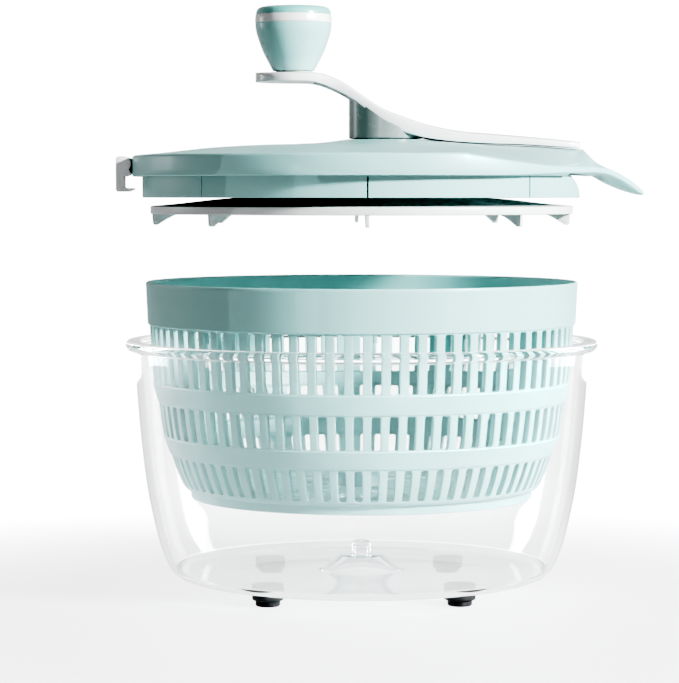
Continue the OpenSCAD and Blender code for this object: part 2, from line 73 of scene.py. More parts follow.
def smooth_line(points, steps=6):
    """A smooth curve through the points, with that many steps between neighbours."""
    p = [np.array(q, float) for q in points]
    out = []
    for k in range(len(p) - 1):
        a, b, c, d = p[max(k - 1, 0)], p[k], p[k + 1], p[min(k + 2, len(p) - 1)]
        for i in range(steps):
            t = i / steps
            out.append(0.5 * (2 * b + (c - a) * t + (2 * a - 5 * b + 4 * c - d) * t * t
                              + (3 * b - a - 3 * c + d) * t ** 3))
    return [tuple(q) for q in out] + [tuple(p[-1])]


def fillet(corners, steps=5):
    """A closed outline from (x, y, radius) corners, each rounded by its radius."""
    out, n = [], len(corners)
    for i, (x, y, r) in enumerate(corners):
        if r <= 0:
            out.append((x, y))
            continue
        here = Vector((x, y))
        a = (Vector(corners[i - 1][:2]) - here).normalized()
        b = (Vector(corners[(i + 1) % n][:2]) - here).normalized()
        half = a.angle(b) / 2
        if abs(half - math.pi / 2) < 1e-4:
            out.append((x, y))
            continue
        reach = r / math.tan(half)
        centre = here + (a + b).normalized() * (r / math.sin(half))
        start, end = here + a * reach - centre, here + b * reach - centre
        turn = start.angle_signed(end)
        for k in range(steps + 1):
            angle = -turn * k / steps
            c, s = math.cos(angle), math.sin(angle)
            out.append((centre.x + start.x * c - start.y * s, centre.y + start.x * s + start.y * c))
    return out


def plain(points):
    """(x, y) points as fillet corners with no radius."""
    return [(x, y, 0) for x, y in points]


def curve_at(points, steps=12):
    """A function that reads y off the smooth curve through the points, by x."""
    line = smooth_line(points, steps)
    xs, ys = zip(*line)
    return lambda x: np.interp(x, xs, ys)


# ---- meshes ----

def lathe(outline, steps=160, centre=(0, 0), closed=True):
    """(vertices, faces) of an outline of (radius, height) turned about the vertical through centre."""
    verts, rings = [], []
    for r, z in outline:
        if r < 1e-6:
            rings.append([len(verts)] * steps)
            verts.append((centre[0], centre[1], z))
            continue
        rings.append(list(range(len(verts), len(verts) + steps)))
        for k in range(steps):
            a = 2 * math.pi * k / steps
            verts.append((centre[0] + r * math.cos(a), centre[1] + r * math.sin(a), z))
    faces, last = [], len(rings) if closed else len(rings) - 1
    for i in range(last):
        low, high = rings[i], rings[(i + 1) % len(rings)]
        for k in range(steps):
            m = (k + 1) % steps
            face = list(dict.fromkeys((low[k], low[m], high[m], high[k])))
            if len(face) > 2:
                faces.append(face)
    return verts, faces


def loft(sections, cap=True):
    """(vertices, faces) of closed sections, each a list of as many (x, y, z) points, joined end to end."""
    n = len(sections[0])
    verts = [p for section in sections for p in section]
    faces = []
    for i in range(len(sections) - 1):
        for k in range(n):
            m = (k + 1) % n
            faces.append((i * n + k, i * n + m, (i + 1) * n + m, (i + 1) * n + k))
    if cap:
        faces.append(tuple(reversed(range(n))))
        faces.append(tuple(range((len(sections) - 1) * n, len(sections) * n)))
    return verts, faces


def join(*parts):
    """One (vertices, faces) from several."""
    verts, faces = [], []
    for v, f in parts:
        base = len(verts)
        verts += list(v)
        faces += [tuple(i + base for i in face) for face in f]
    return verts, faces


def turned(part, degrees):
    """A (vertices, faces) turned about the vertical axis."""
    c, s = math.cos(math.radians(degrees)), math.sin(math.radians(degrees))
    return [(x * c - y * s, x * s + y * c, z) for x, y, z in part[0]], part[1]


def piece(name, part, datum, material, body, replaces=(), bevel=0, sharp=35, merge=True):
    """A finished object from (vertices, faces): bevelled, shaded, riding on its body."""
    mesh = bpy.data.meshes.new(name)
    mesh.from_pydata([tuple(datum + Vector(v) * MM) for v in part[0]], [], part[1])
    bm = bmesh.new()
    bm.from_mesh(mesh)
    if merge:
        bmesh.ops.remove_doubles(bm, verts=bm.verts, dist=1e-7)
    bmesh.ops.dissolve_degenerate(bm, dist=1e-7, edges=bm.edges)
    bmesh.ops.recalc_face_normals(bm, faces=bm.faces)
    bm.to_mesh(mesh)
    bm.free()
    obj = bpy.data.objects.new(name, mesh)
    bpy.context.scene.collection.objects.link(obj)
    if bevel:
        mod = obj.modifiers.new("edges", "BEVEL")
        mod.width = bevel * MM
        mod.segments = 2
        mod.limit_method = "ANGLE"
        mod.angle_limit = math.radians(40)
        bpy.context.view_layer.update()
        done = bpy.data.meshes.new_from_object(obj.evaluated_get(bpy.context.evaluated_depsgraph_get()))
        obj.modifiers.clear()
        obj.data = done
        done.name = name
    obj.data.polygons.foreach_set("use_smooth", [True] * len(obj.data.polygons))
    obj.data.set_sharp_from_angle(angle=math.radians(sharp))
    obj.data.materials.clear()
    obj.data.materials.append(material)
    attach(obj, body)
    if replaces:
        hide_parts(*replaces)
    return obj


# ---- materials ----

def shader(name, colour, roughness, **sockets):
    """A Principled material; returns it with its node tree and shader node."""
    mat = bpy.data.materials.new(name)
    mat.use_nodes = True
    tree = mat.node_tree
    bsdf = tree.nodes["Principled BSDF"]
    bsdf.inputs["Base Color"].default_value = (*colour, 1)
    bsdf.inputs["Roughness"].default_value = roughness
    for key, value in sockets.items():
        bsdf.inputs[key.replace("_", " ")].default_value = value
    return mat, tree, bsdf


def noise(tree, scale, detail=3, stretch=(1, 1, 1)):
    """A noise field in object space, at so many lumps to the metre."""
    coords = tree.nodes.new("ShaderNodeTexCoord")
    mapping = tree.nodes.new("ShaderNodeMapping")
    mapping.inputs["Scale"].default_value = stretch
    field = tree.nodes.new("ShaderNodeTexNoise")
    field.inputs["Scale"].default_value = scale
    field.inputs["Detail"].default_value = detail
    tree.links.new(coords.outputs["Object"], mapping.inputs["Vector"])
    tree.links.new(mapping.outputs["Vector"], field.inputs["Vector"])
    return field.outputs["Fac"]


def vary_colour(tree, bsdf, field, dark, light):
    ramp = tree.nodes.new("ShaderNodeValToRGB")
    ramp.color_ramp.elements[0].position = 0.3
    ramp.color_ramp.elements[0].color = (*dark, 1)
    ramp.color_ramp.elements[1].position = 0.7
    ramp.color_ramp.elements[1].color = (*light, 1)
    tree.links.new(field, ramp.inputs["Fac"])
    tree.links.new(ramp.outputs["Color"], bsdf.inputs["Base Color"])


def vary_roughness(tree, bsdf, field, low, high):
    spread = tree.nodes.new("ShaderNodeMapRange")
    spread.inputs["From Min"].default_value = 0.3
    spread.inputs["From Max"].default_value = 0.7
    spread.inputs["To Min"].default_value = low
    spread.inputs["To Max"].default_value = high
    tree.links.new(field, spread.inputs["Value"])
    tree.links.new(spread.outputs["Result"], bsdf.inputs["Roughness"])


def bump(tree, bsdf, field, depth, strength=1.0):
    node = tree.nodes.new("ShaderNodeBump")
    node.inputs["Strength"].default_value = strength
    node.inputs["Distance"].default_value = depth
    tree.links.new(field, node.inputs["Height"])
    tree.links.new(node.outputs["Normal"], bsdf.inputs["Normal"])


def moulded(name, colour, roughness, grain=2600, depth=0.000012, gloss=0.0):
    """Injection-moulded plastic: faint flow in the colour, fine grain in the skin."""
    mat, tree, bsdf = shader(name, colour, roughness, Coat_Weight=gloss, Coat_Roughness=0.12)
    bsdf.inputs["IOR"].default_value = 1.5
    dark = tuple(c * 0.965 for c in colour)
    light = tuple(min(1, c * 1.025) for c in colour)
    vary_colour(tree, bsdf, noise(tree, 34, 4, (1, 1, 0.5)), dark, light)
    vary_roughness(tree, bsdf, noise(tree, 90, 5), roughness * 0.86, roughness * 1.16)
    bump(tree, bsdf, noise(tree, grain, 2), depth)
    return mat


def metal(name, colour, roughness, stretch):
    mat, tree, bsdf = shader(name, colour, roughness, Metallic=1.0)
    vary_roughness(tree, bsdf, noise(tree, 900, 4, stretch), roughness * 0.7, roughness * 1.4)
    vary_colour(tree, bsdf, noise(tree, 120, 3), tuple(c * 0.9 for c in colour), colour)
    bump(tree, bsdf, noise(tree, 1500, 3, stretch), 0.00001)
    return mat


def black_rubber(name):
    mat, tree, bsdf = shader(name, (0.012, 0.012, 0.013), 0.6)
    vary_colour(tree, bsdf, noise(tree, 60, 4), (0.009, 0.009, 0.01), (0.02, 0.02, 0.021))
    vary_roughness(tree, bsdf, noise(tree, 200, 4), 0.48, 0.7)
    bump(tree, bsdf, noise(tree, 1800, 3), 0.00004)
    return mat


def clear_plastic(name):
    """Clear polished plastic. Lamps shine through it, and so does light mirrored to and fro inside it."""
    most_mirrorings, lamp_tint = 2.5, (0.86, 0.88, 0.88, 1)
    mat, tree, bsdf = shader(name, (0.9, 0.905, 0.91), 0.02, Transmission_Weight=1.0)
    bsdf.inputs["IOR"].default_value = 1.46
    vary_roughness(tree, bsdf, noise(tree, 70, 5), 0.0, 0.035)
    bump(tree, bsdf, noise(tree, 55, 2), 0.00003, 0.35)
    open_way = tree.nodes.new("ShaderNodeBsdfTransparent")
    open_way.inputs["Color"].default_value = lamp_tint
    path = tree.nodes.new("ShaderNodeLightPath")
    trapped = tree.nodes.new("ShaderNodeMath")
    trapped.operation = "GREATER_THAN"
    trapped.inputs[1].default_value = most_mirrorings
    passes = tree.nodes.new("ShaderNodeMath")
    passes.operation = "MAXIMUM"
    mix = tree.nodes.new("ShaderNodeMixShader")
    out = tree.nodes["Material Output"]
    tree.links.new(path.outputs["Glossy Depth"], trapped.inputs[0])
    tree.links.new(trapped.outputs["Value"], passes.inputs[0])
    tree.links.new(path.outputs["Is Shadow Ray"], passes.inputs[1])
    tree.links.new(passes.outputs["Value"], mix.inputs[0])
    tree.links.new(bsdf.outputs["BSDF"], mix.inputs[1])
    tree.links.new(open_way.outputs["BSDF"], mix.inputs[2])
    tree.links.new(mix.outputs["Shader"], out.inputs["Surface"])
    return mat


MINT = (0.42, 0.66, 0.65)
MATERIAL = {
    "clear_bowl": clear_plastic("clear_plastic"),
    "rubber": black_rubber("black_rubber"),
    "mint_basket": moulded("mint_basket", MINT, 0.42),
    "mint_lid": moulded("mint_lid", MINT, 0.36),
    "mint_knob": moulded("mint_knob", MINT, 0.3, gloss=0.2),
    # painted shade: the cap is a darker copy of the knob's mint, standing in for the shade on the knob's top
    "mint_cap_painted_shade": moulded("mint_cap_painted_shade", (0.26, 0.52, 0.49), 0.3, gloss=0.2),
    "white_plastic": moulded("white_plastic", (0.86, 0.86, 0.865), 0.26, gloss=0.3),
    "grey_plastic": moulded("grey_plastic", (0.25, 0.285, 0.28), 0.25),
    "white_plate": moulded("white_plate", (0.76, 0.79, 0.79), 0.34),
    "bush_plastic": moulded("acetal", (0.74, 0.73, 0.66), 0.4),
    "steel": metal("steel", (0.62, 0.62, 0.64), 0.28, (1, 1, 8)),
}


# ---- bowl ----

def bowl_outline():
    foot, floor = 9.0, 12.0
    side = smooth_line([(98.8, 13.6), (101.6, 19.4), (104.6, 28), (107.6, 40.5), (110.6, 56),
                        (113.4, 79), (115.3, 101), (116.7, 122.8)], 6)
    wall = 2.4
    outer = [(20.9, foot, 3), (89, foot, 0), (92.6, foot + 0.35, 0), (95.4, foot + 1.5, 0),
             (97.4, foot + 3, 0)] + plain(side)
    rim = [(RIM_R - 4.6, RIM_Z - 5.4, 0.8), (RIM_R - 1.4, RIM_Z - 4.7, 2.2), (RIM_R, RIM_Z - 2.5, 1.6),
           (RIM_R - 0.9, RIM_Z, 1.6), (RIM_R - 7.2, RIM_Z, 1.1)]
    inner = [(r - wall, z, 0) for r, z in reversed(side)]
    floor_in = [(94.2, floor + 1.5, 0), (91.5, floor + 0.5, 0), (88, floor, 0), (21, floor, 4),
                (11, floor + 8, 1.2), (5, floor + 8, 0.8), (5, floor + 15, 1.6), (0, floor + 15, 0)]
    under = [(0, floor + 12.6, 0), (3, floor + 12.6, 1), (3, floor + 6.1, 0.6), (9.5, floor + 6.1, 1)]
    return fillet(under + outer + rim + inner + floor_in, 6)


def make_bowl():
    piece("clear_bowl", lathe(bowl_outline(), 256), FLOOR, MATERIAL["clear_bowl"], "bowl",
          ["bowl"], sharp=60)
    foot_circle = 68
    foot = fillet([(0, 0, 0), (6.2, 0, 1), (6.2, 3, 0.6), (7.9, 3.1, 0.8), (8, 8.95, 0.3), (0, 8.95, 0)], 4)
    feet = []
    for k in range(4):
        a = math.radians(45 + 90 * k)
        feet.append(lathe(foot, 64, (foot_circle * math.cos(a), foot_circle * math.sin(a)), closed=False))
    piece("rubber_feet", join(*feet), FLOOR, MATERIAL["rubber"], "bowl", ["bowl_feet"])


# ---- basket ----

SLOTS = 76
ROWS = [(6.9, 22.5, 3.9), (32.6, 49.2, 4.6), (59.8, 88.3, 4.6)]
WALL = 1.4
RIB = 3.2
SLOT_ROUND = 1.2
MARKS = 6  # vertices to a slot and its rib: three across the slot, three across the rib
outside = curve_at([(5.2, 90.6), (6.4, 91.9), (14, 95.4), (22.9, 98.4), (32.2, 101.9), (41, 103.5),
                    (49.6, 104.6), (59.4, 107), (74, 108.2), (88.7, 109)], 4)


def wall_radius(z):
    """Outer radius of the basket's wall at a height, with its bands standing proud."""
    if z >= 89.1:
        return 110 + (z - 89.1) * 1.0 / 21
    proud = 0.5 if 23.2 <= z <= 31.9 or 49.9 <= z <= 59.1 else 0
    return float(outside(z)) + proud


def inner_radius(z):
    """Inner radius at a height: the ribs between the slots are deeper than the plain bands."""
    if z > 92:
        return 109.4
    into_row = max(min(z - low, high - z) for low, high, _ in ROWS)
    deep = min(1, max(0, (into_row + 1.25) / 1.7))
    return float(outside(min(z, 88.7))) - WALL - (RIB - WALL) * deep


def basket_levels():
    """(height, outer radius, inner radius) of each ring of vertices, from the foot ring to the lip."""
    heights = [5.2, 6, 12, 16, 19, 22.9, 23.2, 23.8, 25.4, 29.6, 31.3, 31.9, 32.2, 36, 41, 46, 49.6, 49.9,
               50.5, 52, 57, 58.5, 59.1, 59.4, 66, 72, 78, 84, 88.7, 89.1, 89.6, 92, 98, 104, 108.6]
    for low, high, _ in ROWS:
        heights += [low, low + SLOT_ROUND * 0.3, low + SLOT_ROUND, high - SLOT_ROUND,
                    high - SLOT_ROUND * 0.3, high]
    heights.sort()
    return [(z, wall_radius(z), inner_radius(z)) for z in heights]


def slotted_wall():
    """The basket's wall as one closed shell with its slots cut through."""
    rows = basket_levels()
    pitch = 2 * math.pi / SLOTS
    count = SLOTS * MARKS
    verts, out, inn = [], [], []

    def slot_width(z):
        for low, high, wide in ROWS:
            if z <= high + 1:
                inset = SLOT_ROUND - min(SLOT_ROUND, max(0, min(z - low, high - z)))
                return wide - 1.5 * (SLOT_ROUND - math.sqrt(SLOT_ROUND ** 2 - inset ** 2))
        return ROWS[-1][2]

    def angles(z, r):
        half = slot_width(z) / 2 / r
        rib = pitch - 2 * half
        for k in range(SLOTS):
            middle = pitch * (k + 0.5)
            yield middle - half
            yield middle
            yield middle + half
            yield middle + half + rib * 0.25
            yield middle + half + rib * 0.5
            yield middle + half + rib * 0.75

    for z, r, i in rows:
        for store, radius in ((out, r), (inn, i)):
            store.append(list(range(len(verts), len(verts) + count)))
            for a in angles(z, radius):
                verts.append((radius * math.cos(a), radius * math.sin(a), z))
    top_out, top_in = [], []
    for z, r, i in ((109.6, 111.0, 109.35), (110.25, 110.75, 109.65), (110.5, 110.3, 110.05)):
        for store, radius in ((top_out, r), (top_in, i)):
            store.append(list(range(len(verts), len(verts) + count)))
            for a in angles(z, radius):
                verts.append((radius * math.cos(a), radius * math.sin(a), z))
    faces = []

    def is_open(row, col):
        z0, z1 = rows[row][0], rows[row + 1][0]
        return col % MARKS < 2 and any(z0 >= low - 1e-6 and z1 <= high + 1e-6 for low, high, _ in ROWS)

    last = len(rows) - 1
    for row in range(last):
        for col in range(count):
            m = (col + 1) % count
            if is_open(row, col):
                continue
            faces.append((out[row][col], out[row][m], out[row + 1][m], out[row + 1][col]))
            faces.append((inn[row][col], inn[row + 1][col], inn[row + 1][m], inn[row][m]))
            if is_open(row, (col - 1) % count):
                faces.append((out[row][col], out[row + 1][col], inn[row + 1][col], inn[row][col]))
            if is_open(row, m):
                faces.append((out[row][m], inn[row][m], inn[row + 1][m], out[row + 1][m]))
            if row > 0 and is_open(row - 1, col):
                faces.append((out[row][col], inn[row][col], inn[row][m], out[row][m]))
            if row + 1 < last and is_open(row + 1, col):
                faces.append((out[row + 1][col], out[row + 1][m], inn[row + 1][m], inn[row + 1][col]))
    ladder = [(out[last], inn[last])] + list(zip(top_out, top_in))
    for (o0, i0), (o1, i1) in zip(ladder, ladder[1:]):
        for col in range(count):
            m = (col + 1) % count
            faces.append((o0[col], o0[m], o1[m], o1[col]))
            faces.append((i0[col], i1[col], i1[m], i0[m]))
    o, i = ladder[-1]
    for col in range(count):
        m = (col + 1) % count
        faces.append((o[col], o[m], i[m], i[col]))
        faces.append((out[0][col], inn[0][col], inn[0][m], out[0][m]))
    return verts, faces


def floor_zone(r0, r1, count, low, high):
    """A ring of the basket's floor with count slots from r0 to r1, 3.4 mm wide, closed all round."""
    half = 1.7
    z0, z1 = 4.0, 5.6
    radii = [low, r0, (r0 + r1) / 2, r1, high]
    total = count * MARKS
    verts = []

    def ring(r, z):
        start = len(verts)
        swing = min(half / r, math.pi / count * 0.8)
        pitch = 2 * math.pi / count
        rest = pitch - 2 * swing
        for k in range(count):
            middle = pitch * (k + 0.5)
            for a in (middle - swing, middle, middle + swing, middle + swing + rest * 0.25,
                      middle + swing + rest * 0.5, middle + swing + rest * 0.75):
                verts.append((r * math.cos(a), r * math.sin(a), z))
        return list(range(start, start + total))

    top = [ring(r, z1) for r in radii]
    bottom = [ring(r, z0) for r in radii]
    faces = []

    def is_open(row, col):
        return row in (1, 2) and col % MARKS < 2

    for row in range(len(radii) - 1):
        for col in range(total):
            m = (col + 1) % total
            if is_open(row, col):
                continue
            faces.append((top[row][col], top[row + 1][col], top[row + 1][m], top[row][m]))
            faces.append((bottom[row][col], bottom[row][m], bottom[row + 1][m], bottom[row + 1][col]))
            if is_open(row, (col - 1) % total):
                faces.append((top[row][col], bottom[row][col], bottom[row + 1][col], top[row + 1][col]))
            if is_open(row, m):
                faces.append((top[row][m], top[row + 1][m], bottom[row + 1][m], bottom[row][m]))
            if row > 0 and is_open(row - 1, col):
                faces.append((top[row][col], top[row][m], bottom[row][m], bottom[row][col]))
            if is_open(row + 1, col):
                faces.append((top[row + 1][col], bottom[row + 1][col], bottom[row + 1][m], top[row + 1][m]))
    for row in (0, len(radii) - 1):
        for col in range(total):
            m = (col + 1) % total
            faces.append((top[row][col], bottom[row][col], bottom[row][m], top[row][m]))
    return verts, faces


def make_basket():
    wall = slotted_wall()
    foot_ring = lathe(fillet([(86.2, 0, 0.5), (88, 0, 0.5), (88, 4.4, 0.8), (90.9, 5.2, 0), (90.9, 6.3, 0),
                              (86, 5.6, 0), (86.2, 4, 0)], 4), 192)
    hub = lathe(fillet([(11.4, 4, 0.2), (13.4, 4, 0), (13.4, 5.6, 0), (13, 6.2, 0), (13, 14.4, 0.8),
                        (8.05, 14.4, 0.4), (8.05, 6.4, 0), (11.4, 6.4, 0)], 4), 96)
    zones = [floor_zone(18, 38, 16, 13.2, 40.5), floor_zone(43, 60, 30, 40.5, 62.5),
             floor_zone(65, 81, 44, 62.5, 86.4)]
    rib = loft([[(x, y, z) for x, z in ((103, 86), (104.6, 84.6), (108.7, 84.6), (108.7, 95.2), (103, 95.2))]
                for y in (-0.9, 0.9)])
    ribs = [turned(rib, 45 * k + 2) for k in range(8)]
    piece("slotted_basket", join(wall, foot_ring, hub, *zones, *ribs), BASKET, MATERIAL["mint_basket"],
          "basket", ["basket"], bevel=0.22, merge=False)


# ---- lid ----

dome = curve_at([(0, 16.2), (40, 16.1), (58, 15.8), (77, 14.7), (89, 13.5), (102, 12), (111, 11.2),
                 (115.6, 10.7), (118, 10.5)], 6)
ridge = curve_at([(20, 16.4), (40, 17.4), (61, 16.6), (82, 15.95), (92, 15.5), (102, 14.75), (112, 14.1),
                  (114.6, 13.4), (119.5, 8.3), (125.6, 4.4), (131.7, 1.6), (140.1, -3.5), (143, -5.8),
                  (TIP_X, -8.9)], 8)
edge_top = curve_at([(0, 3.8), (19, 4.1), (28, 4.3), (41, 4.9), (52.5, 6.8), (60, 8.7), (66, 10.2),
                     (74, 10.7), (180, 10.7)], 8)
leaf_half = curve_at([(101.8, 58.8), (108, 48.6), (116, 36.5), (125, 25), (134, 14.5), (141, 6.5),
                      (144.8, 2), (TIP_X, 0)], 8)
leaf_top = curve_at([(98, 4.5), (110, 4.2), (118, 4.2), (124.6, 3.6), (130.8, 1.3), (138, -2.5),
                     (143, -6.2), (TIP_X, -8.9)], 8)
leaf_low = curve_at([(98, 1.4), (110, 1.6), (118, 1.7), (124.6, 0.9), (130.8, -1.2), (138, -4.9),
                     (143, -8), (TIP_X, -9.4)], 8)
keel = curve_at([(115, 0.2), (121.9, 0.3), (123.4, -1.4), (126.2, -3.7), (134.9, -7.3), (142, -9.2),
                 (TIP_X, -9.4)], 8)
LEAF_FROM = 30.0


def leaf_reach(degrees):
    """Radius of the lid's plan outline at an angle from +X."""
    a = abs(degrees)
    if a >= LEAF_FROM:
        return BAND_R
    low, high = 101.0, TIP_X
    for _ in range(40):
        x = (low + high) / 2
        if float(leaf_half(x)) > x * math.tan(math.radians(a)):
            low = x
        else:
            high = x
    return max(BAND_R, math.hypot(x, float(leaf_half(x))))


def eased(t):
    """0 to 1 with a soft start and end."""
    t = min(1, max(0, t))
    return t * t * (3 - 2 * t)


def band_low(degrees):
    """Height of the band's lower edge, which rises towards the beak."""
    return 1.5 * eased((62 - abs(degrees)) / 34)


def lid_top(x, y, degrees):
    """Height of the lid's upper surface."""
    r = math.hypot(x, y)
    edge = float(edge_top(abs(degrees)))
    share = (float(dome(min(r, 117))) - 10.7) / 5.5
    base = edge + (16.2 - edge) * max(0, share)
    if x < 24 or abs(degrees) > 75:
        return base
    rim_y = math.sqrt(max(1, BAND_R ** 2 - x * x)) if x < 101.8 else max(0.5, float(leaf_half(x)))
    across = min(1, abs(y) / rim_y)
    outline = float(edge_top(math.degrees(math.atan2(rim_y, x)))) if x < 101.8 else float(leaf_top(x))
    roof = outline + (float(ridge(x)) - outline) * (1 - across ** 1.35)
    if r > 117:
        return roof
    blend = min(1, (x - 24) / 30)
    soft = 0.8
    high = max(base, roof) + soft * math.exp(-abs(base - roof) / soft) * 0.3
    inside = base + (high - base) * blend
    near_rim = eased((r - 86) / 28) * eased((75 - abs(degrees)) / 30)
    return inside + (roof - inside) * near_rim


def lid_section(degrees):
    """(radius, height) points round the lid's section at one angle, the same number at each."""
    reach = leaf_reach(degrees)
    c, s = math.cos(math.radians(degrees)), math.sin(math.radians(degrees))
    in_leaf = abs(degrees) < LEAF_FROM
    radii = list(np.linspace(4, 112, 55)) + [112 + (reach - 1.4 - 112) * k / 18 for k in range(1, 19)]
    top = [(r, lid_top(r * c, r * s, degrees)) for r in radii]
    edge_x = reach * c
    z_top = top[-1][1] - 0.05
    z_low = float(leaf_low(edge_x)) if in_leaf else band_low(degrees)
    z_low = min(z_low, z_top - 0.5)
    tall = z_top - z_low
    bend = min(1.4, tall * 0.45)
    side = [(reach - 1.4 + bend * math.sin(a) * (1.4 / bend if bend < 1.4 else 1),
             z_top - bend + bend * math.cos(a))
            for a in np.radians([30, 60, 90])]
    low_bend = min(0.5, tall * 0.2)
    side += [(reach, z_low + tall * 0.3), (reach, z_low + low_bend), (reach - 0.15, z_low + low_bend * 0.3),
             (reach - 0.5, z_low)]
    under = []
    for k in range(1, 19):
        r = (reach - 0.5) + (115.2 - reach + 0.5) * k / 18
        z = z_low * (1 - k / 18)
        if in_leaf:
            x, y = r * c, abs(r * s)
            half = max(0.5, float(leaf_half(max(x, 101.8))))
            middle = max(0, 1 - (y / half) ** 2)
            z = float(leaf_low(x)) * (1 - middle) + float(keel(max(115, min(r, TIP_X)))) * middle
            if r < 123:
                z = z + (max(z, 0.15) - z) * min(1, (123 - r) / 1.2)
        under.append((r, z))
    under[-1] = (115.2, band_low(degrees))
    wall = [(115.2, 2.5), (115.2, 5.0)]
    roof_z = [min(top[i][1], 20) - 2.4 for i in (52, 46, 40, 30, 20, 10, 0)]
    ceiling_r = [113.2, 94, 82, 62, 43, 23.6, 4]
    ceiling = [(115.2, min(7.6, roof_z[0])), (114.2, min(8.2, roof_z[0] + 0.2))]
    ceiling += [(r, max(z, 1.2) if r > 90 else z) for r, z in zip(ceiling_r, roof_z)]
    return top + side + under + wall + ceiling


def lid_shell():
    """The lid's moulding: a section swept round the axis, out into the beak at +X."""
    fine = np.concatenate([np.linspace(-LEAF_FROM, LEAF_FROM, 121), np.linspace(LEAF_FROM, 90, 49)[1:],
                           np.linspace(90, 270, 109)[1:], np.linspace(270, 330, 49)[1:-1]])
    sections = []
    for a in fine:
        c, s = math.cos(math.radians(a)), math.sin(math.radians(a))
        wrapped = (a + 180) % 360 - 180
        sections.append([(r * c, r * s, z) for r, z in lid_section(float(wrapped))])
    n = len(sections[0])
    verts = [p for section in sections for p in section]
    top_pole, low_pole = len(verts), len(verts) + 1
    verts += [(0, 0, float(dome(0))), (0, 0, float(dome(0)) - 2.4)]
    faces, count = [], len(sections)
    for i in range(count):
        j = (i + 1) % count
        for k in range(n - 1):
            faces.append((i * n + k, j * n + k, j * n + k + 1, i * n + k + 1))
        faces.append((top_pole, j * n, i * n))
        faces.append((low_pole, i * n + n - 1, j * n + n - 1))
    return verts, faces


def make_lid():
    slope = smooth_line([(55, 15.2), (49, 16.4), (43, 16.7), (37, 17.05), (31, 17.55), (24.5, 18.4),
                         (22, 18.75), (19.6, 18.97)], 4)
    plateau = lathe(fillet([(11.2, 11.5, 0.3), (13.6, 11.5, 0.3), (15.6, 13.2, 0), (28, 13.2, 0),
                            (52, 14.5, 0)] + plain(slope) + [(11.2, 19, 0.4), (11.2, 18.2, 0),
                                                             (8, 18.2, 0), (8, 11.5, 0)], 5),
                    144, (CRANK_X, 0))
    case = lathe(fillet([(25, -1, 0.3), (27, -1, 0.3), (27, 14, 0), (25, 14, 0)], 3), 128, (CRANK_X, 0))
    posts = [lathe([(1.5, -1), (3.4, -1), (3.4, 14), (1.5, 14)], 32,
                   (CRANK_X + 29.5 * math.cos(math.radians(a)), 29.5 * math.sin(math.radians(a))))
             for a in (45, 135, 225, 315)]
    z = PIN_Z
    lug_outline = fillet([(PIN_X - 3.6, z - 3.6, 3.5), (-116.2, z - 3.6, 0), (-116.2, z + 2.8, 0),
                          (PIN_X + 1, z + 3.6, 1.5), (PIN_X - 3.6, z + 3.6, 3.5)], 6)
    lug = loft([[(x, y, h) for x, h in lug_outline] for y in (-4, 4)])
    piece("lid_moulding", join(lid_shell(), plateau, case, *posts, lug), LID, MATERIAL["mint_lid"], "lid",
          ["lid_cover"], sharp=38, merge=False)
    make_skirt()


def make_skirt():
    """The ring under the lid: curved segments with thin seams, and a gap with cut corners under the beak."""
    low, top, outer, inner = -10.7, 8.5, 112.5, 111.4
    outline = fillet([(inner, low, 0.35), (outer, low, 0.45), (outer, top, 0), (inner, top, 0)], 4)
    corner = curve_at([(24.9, -9.8), (25.6, -8.7), (28.5, -6.3), (35.4, -3.1), (45.5, 0.6), (47, 3),
                       (49, top)], 8)

    def cover(a):
        """Height that keeps the ring inside the lid's moulding at this angle."""
        degrees = (math.degrees(a) + 180) % 360 - 180
        return min(top, lid_top(outer * math.cos(a), outer * math.sin(a), degrees) - 1)

    def segment(start, end, steps):
        sections = []
        for a in np.radians(np.linspace(start, end, steps)):
            roof = cover(a)
            if math.cos(a) > 0:
                roof = min(roof, float(corner(abs(outer * math.sin(a)))))
            squeeze = (roof - low) / (top - low)
            sections.append([(r * math.cos(a), r * math.sin(a), low + (z - low) * squeeze)
                             for r, z in outline])
        return loft(sections)

    seam = math.degrees(0.4 / outer)
    gap_half = 24.9
    gap = math.degrees(math.asin(gap_half / outer))
    parts = [segment(gap, 45 - seam, 121), segment(-45 + seam, -gap, 121)]
    parts += [segment(45 * k + seam, 45 * (k + 1) - seam, 29) for k in range(1, 7)]
    backing = loft([[(r * math.cos(a), r * math.sin(a), z)
                     for r, z in ((inner + 0.2, -0.5), (outer - 0.2, -0.5), (outer - 0.2, cover(a) - 0.1),
                                  (inner + 0.2, cover(a) - 0.1))]
                    for a in np.radians(np.linspace(25, 335, 160))])
    piece("lid_skirt_ring", join(*parts, backing), LID, MATERIAL["mint_lid"], "lid",
          ["lid_skirt"], merge=False)


# ---- latch ----

